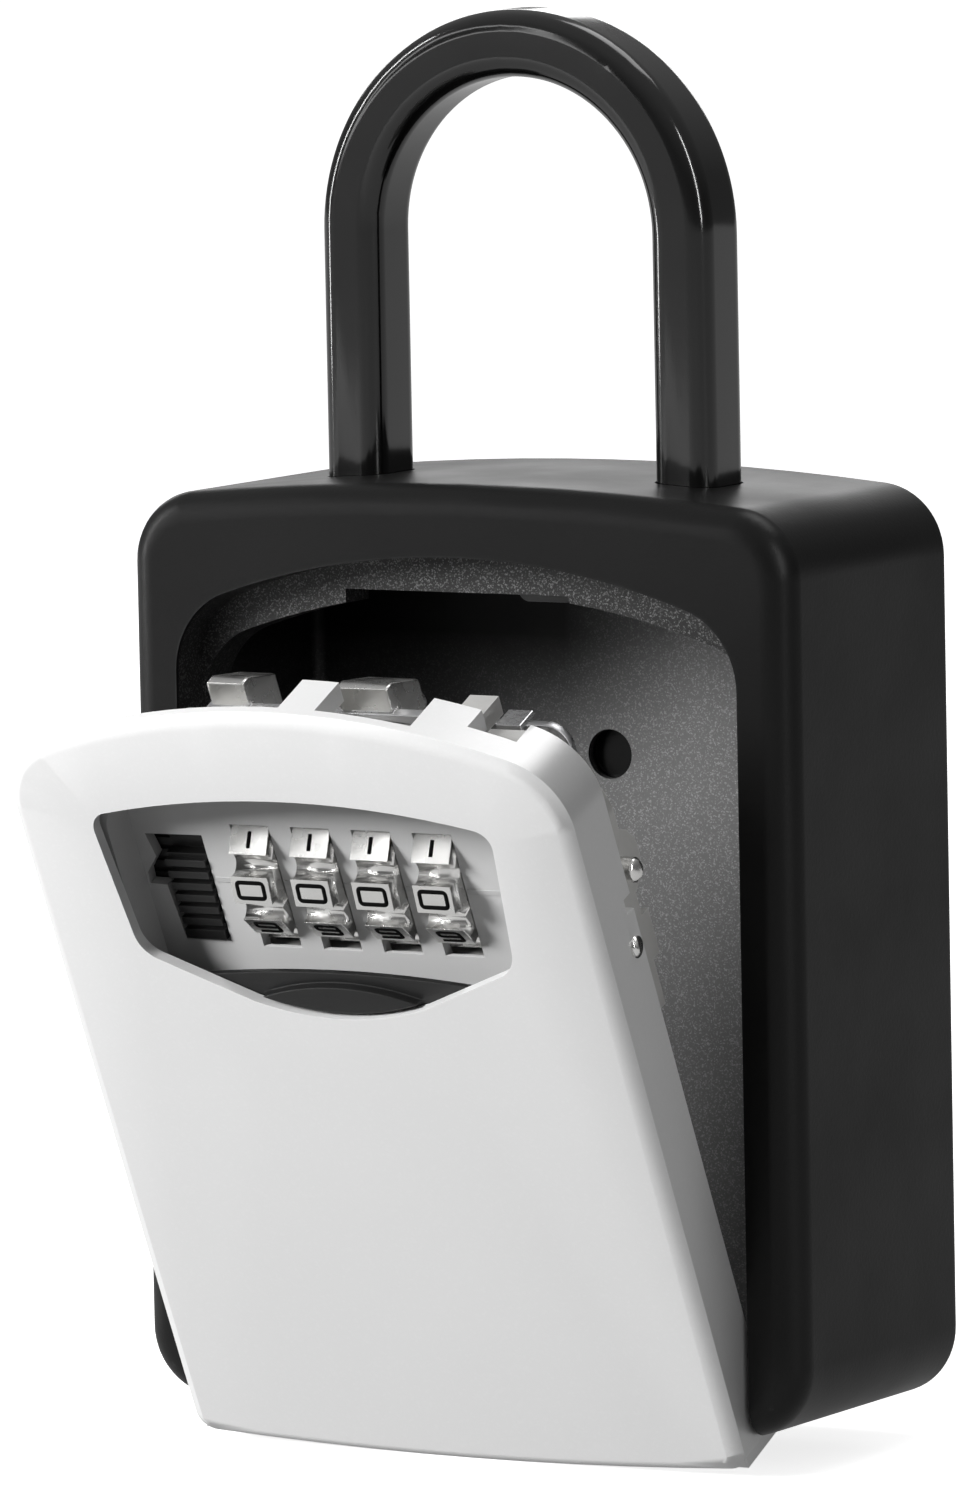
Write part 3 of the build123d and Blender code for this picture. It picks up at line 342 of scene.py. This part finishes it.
def dial_numbers(number):
    """The ten figures of one dial, as ink lines let into the wheel's pads."""
    centre = dial_centre(number)
    wheel = [(CLOSED @ v.co) / MM - centre for v in nodes[f"dial_wheel_{number}"].data.vertices]
    rim = max(math.hypot(p.y, p.z) for p in wheel)
    middle = (max(p.x for p in wheel) + min(p.x for p in wheel)) / 2
    pad_radius = math.sqrt(rim ** 2 - PAD_HALF ** 2)
    curve = bpy.data.curves.new(f"dial_numbers_{number}", "CURVE")
    curve.dimensions = "3D"
    curve.bevel_depth = INK_TUBE * MM
    curve.bevel_resolution = 3
    curve.use_fill_caps = True
    for figure, strokes in FIGURES.items():
        angle = math.radians(DIGIT_STEP * figure + pad_tilt(wheel, rim))
        outward = Vector((0, -math.cos(angle), math.sin(angle)))
        up = Vector((0, math.sin(angle), math.cos(angle)))
        base = centre + Vector((middle, 0, 0)) + outward * (pad_radius - INK_SUNK)
        for stroke in strokes:
            loop = stroke[-1] == "loop"
            grid = [p for p in stroke if p != "loop"]
            wide = DIGIT_WIDE if figure == 0 else DIGIT_NARROW
            flat = [((c - 0.5) * wide, (r - 1) * DIGIT_HIGH / 2) for c, r in grid]
            line = rounded(flat, loop)
            spline = curve.splines.new("POLY")
            spline.points.add(len(line) - 1)
            spline.use_cyclic_u = loop
            for point, (across, along) in zip(spline.points, line):
                place = DOOR @ ((base + Vector((across, 0, 0)) + up * along) * MM)
                point.co = (*place, 1)
    piece = bpy.data.objects.new(f"dial_numbers_{number}", curve)
    bpy.context.scene.collection.objects.link(piece)
    curve.materials.append(digit_ink)
    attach(piece, f"dial_{number}")


def pad_tilt(wheel, rim):
    """How far above straight ahead the pad nearest the front is turned, in degrees."""
    edges = [math.degrees(math.atan2(p.z, -p.y)) for p in wheel if math.hypot(p.y, p.z) > rim - 0.01]
    pad_edge = math.degrees(math.asin(PAD_HALF / rim))
    centres = [e - pad_edge for e in edges] + [e + pad_edge for e in edges]
    shared = [c for c in centres if sum(abs(c - d) < 0.2 for d in centres[:len(edges)])
              and sum(abs(c - d) < 0.2 for d in centres[len(edges):])]
    return min(shared, key=abs)


def mesh_piece(name, verts, faces, material, body, edge_mm=0.0):
    mesh = bpy.data.meshes.new(name)
    mesh.from_pydata([tuple(v) for v in verts], [], faces)
    build = bmesh.new()
    build.from_mesh(mesh)
    bmesh.ops.recalc_face_normals(build, faces=build.faces)
    build.to_mesh(mesh)
    build.free()
    mesh.materials.append(material)
    piece = bpy.data.objects.new(name, mesh)
    bpy.context.scene.collection.objects.link(piece)
    if edge_mm:
        bevel = piece.modifiers.new("edges", "BEVEL")
        bevel.width = edge_mm * MM
        bevel.segments = EDGE_SEGMENTS
    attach(piece, body)


def prism(profile, x0, x1, first=0):
    """Vertices and faces of a profile in Y and Z carried from x0 to x1 on the shut door."""
    verts = [on_shut_door(x, y, z) for x in (x0, x1) for y, z in profile]
    count = len(profile)
    faces = [list(range(count)), list(range(2 * count - 1, count - 1, -1))]
    for i in range(count):
        after = (i + 1) % count
        faces.append([i, i + count, after + count, after])
    return verts, [[first + corner for corner in face] for face in faces]


LINE_LOW = 75.15
LINE_HIGH = 75.85
LINE_FRONT = 3.01       # the dial plate's dished face is at 3.1
LINE_BACK = 3.33
LINE_GAP = 2.75         # from a dial's middle to the end of the line beside it
LINE_LEFT = 6.6
LINE_RIGHT = 10.5


def index_line():
    """The pale line that marks the reading height, broken by the dial slots."""
    dials = [dial_centre(i).x for i in range(1, 5)]
    spans = [(dials[0] - LINE_LEFT, dials[0] - LINE_GAP)]
    spans += [(a + LINE_GAP, b - LINE_GAP) for a, b in zip(dials, dials[1:])]
    spans.append((dials[3] + LINE_GAP, dials[3] + LINE_RIGHT))
    section = ((LINE_FRONT, LINE_LOW), (LINE_BACK, LINE_LOW), (LINE_BACK, LINE_HIGH), (LINE_FRONT, LINE_HIGH))
    verts, faces = [], []
    for x0, x1 in spans:
        more_verts, more_faces = prism(section, x0, x1, len(verts))
        verts += more_verts
        faces += more_faces
    mesh_piece("index_line", verts, faces, index_ink, "door", 0.05)


BRACKET_SPAN = (21.7, 25.0)
BRACKET_PROFILE = ((11.45, 86.4), (12.1, 86.4), (12.1, 92.4), (15.0, 92.4), (15.0, 93.1), (11.45, 93.1))


def end_bracket():
    """A bent steel strip on the back of the door's frame, right of the last dial."""
    verts, faces = prism(BRACKET_PROFILE, *BRACKET_SPAN)
    mesh_piece("end_bracket", verts, faces, steel, "door", 0.15)


for dial in range(1, 5):
    dial_numbers(dial)
index_line()
end_bracket()


# ---------------------------------------------------------------- camera, stage and light
def look(azimuth, elevation, roll):
    """Camera axes: looking from the given azimuth and elevation, turned about the view line."""
    a, e = math.radians(azimuth), math.radians(elevation)
    back = Vector((math.sin(a) * math.cos(e), -math.cos(a) * math.cos(e), math.sin(e)))
    right = Vector((math.cos(a), math.sin(a), 0))
    up = back.cross(right)
    r = math.radians(roll)
    turned_right = right * math.cos(r) + up * math.sin(r)
    turned_up = up * math.cos(r) - right * math.sin(r)
    return turned_right, turned_up, back


VIEW_AZIMUTH = 30.39
VIEW_ELEVATION = 6.14
VIEW_ROLL = -1.12
VIEW_TARGET = (-7.6, -20.0, 27.2)
VIEW_DISTANCE = 1.439
VIEW_LENS = 289.9


def place_camera():
    right, up, back = look(VIEW_AZIMUTH, VIEW_ELEVATION, VIEW_ROLL)
    data = bpy.data.cameras.new("camera")
    data.sensor_fit = "AUTO"
    data.sensor_width = 36
    data.lens = VIEW_LENS
    data.clip_end = 20
    camera = bpy.data.objects.new("camera", data)
    position = Vector(VIEW_TARGET) * MM + back * VIEW_DISTANCE
    camera.matrix_world = Matrix((
        (right.x, up.x, back.x, position.x),
        (right.y, up.y, back.y, position.y),
        (right.z, up.z, back.z, position.z),
        (0, 0, 0, 1)))
    bpy.context.scene.collection.objects.link(camera)
    bpy.context.scene.camera = camera


def area_light(name, position, target, width, height, power, diffuse=True, glossy=True):
    data = bpy.data.lights.new(name, "AREA")
    data.shape = "RECTANGLE"
    data.size = width
    data.size_y = height
    data.energy = power
    light = bpy.data.objects.new(name, data)
    light.location = position
    aim = Vector(target) - Vector(position)
    light.rotation_euler = aim.to_track_quat("-Z", "Y").to_euler()
    light.visible_diffuse = diffuse
    light.visible_glossy = glossy
    light.visible_camera = False
    bpy.context.scene.collection.objects.link(light)


FLOOR_HALF = 6.0
FLOOR_SEEN = 0.93       # floor colour to the camera, and to every other ray
FLOOR_UNSEEN = 0.15
FLOOR_GLOW = 0.80       # floor glow to the camera, and in reflections
MIRROR_GLOW = 0.4


def build_floor():
    low = cad_box[0][2]
    corners = [(x * FLOOR_HALF, y * FLOOR_HALF, low) for x, y in ((-1, -1), (1, -1), (1, 1), (-1, 1))]
    mesh = bpy.data.meshes.new("floor")
    mesh.from_pydata(corners, [], [(0, 1, 2, 3)])
    floor = bpy.data.objects.new("floor", mesh)
    material = bpy.data.materials.new("pale_floor")
    material.use_nodes = True
    tree = material.node_tree
    bsdf = tree.nodes["Principled BSDF"]
    seen = add(tree, "LightPath").outputs["Is Camera Ray"]
    tree.links.new(mix(tree, seen, rgb(FLOOR_UNSEEN), rgb(FLOOR_SEEN)), bsdf.inputs["Base Color"])
    bsdf.inputs["Roughness"].default_value = 0.9
    bsdf.inputs["Emission Color"].default_value = (1, 1, 1, 1)
    mirrored = add(tree, "LightPath").outputs["Is Glossy Ray"]
    glow = add(tree, "Math", {0: ramp(tree, seen, 0.0, 1.0, 0.0, FLOOR_GLOW),
                              1: ramp(tree, mirrored, 0.0, 1.0, 0.0, MIRROR_GLOW)})
    tree.links.new(glow.outputs[0], bsdf.inputs["Emission Strength"])
    mesh.materials.append(material)
    bpy.context.scene.collection.objects.link(floor)


def build_sky():
    """A dim dome, brighter overhead, that the camera itself sees as white."""
    world = bpy.data.worlds.new("studio")
    bpy.context.scene.world = world
    world.use_nodes = True
    tree = world.node_tree
    background = tree.nodes["Background"]
    direction = add(tree, "TexCoord").outputs["Generated"]
    height = add(tree, "SeparateXYZ", {"Vector": direction}).outputs[2]
    sky = ramp(tree, height, 0.2, 0.85, 0.12, 0.42)
    seen = add(tree, "LightPath").outputs["Is Camera Ray"]
    tree.links.new(mix(tree, seen, sky, rgb(1.0)), background.inputs["Color"])


place_camera()
build_floor()
build_sky()
area_light("key", (-0.62, -0.80, 0.36), (0, -0.04, 0.0), 0.35, 0.35, 19.0, glossy=False)
area_light("key_shine", (-0.62, -0.80, 0.36), (0, -0.04, 0.0), 0.5, 0.5, 3.2, diffuse=False)
area_light("overhead", (0.10, 0.25, 0.80), (0, -0.02, 0.05), 0.5, 0.3, 1.5)
area_light("back_low", (-0.55, 0.95, 0.36), (0, -0.02, 0.06), 0.9, 0.22, 1.8)
area_light("left_strip", (-0.95, -0.35, 0.30), (0, -0.02, 0.06), 0.05, 0.9, 4.0, False)
area_light("right_strip", (0.95, -0.40, 0.45), (0, -0.02, 0.06), 0.05, 0.7, 3.5, False)
bpy.context.scene.view_settings.view_transform = "Standard"
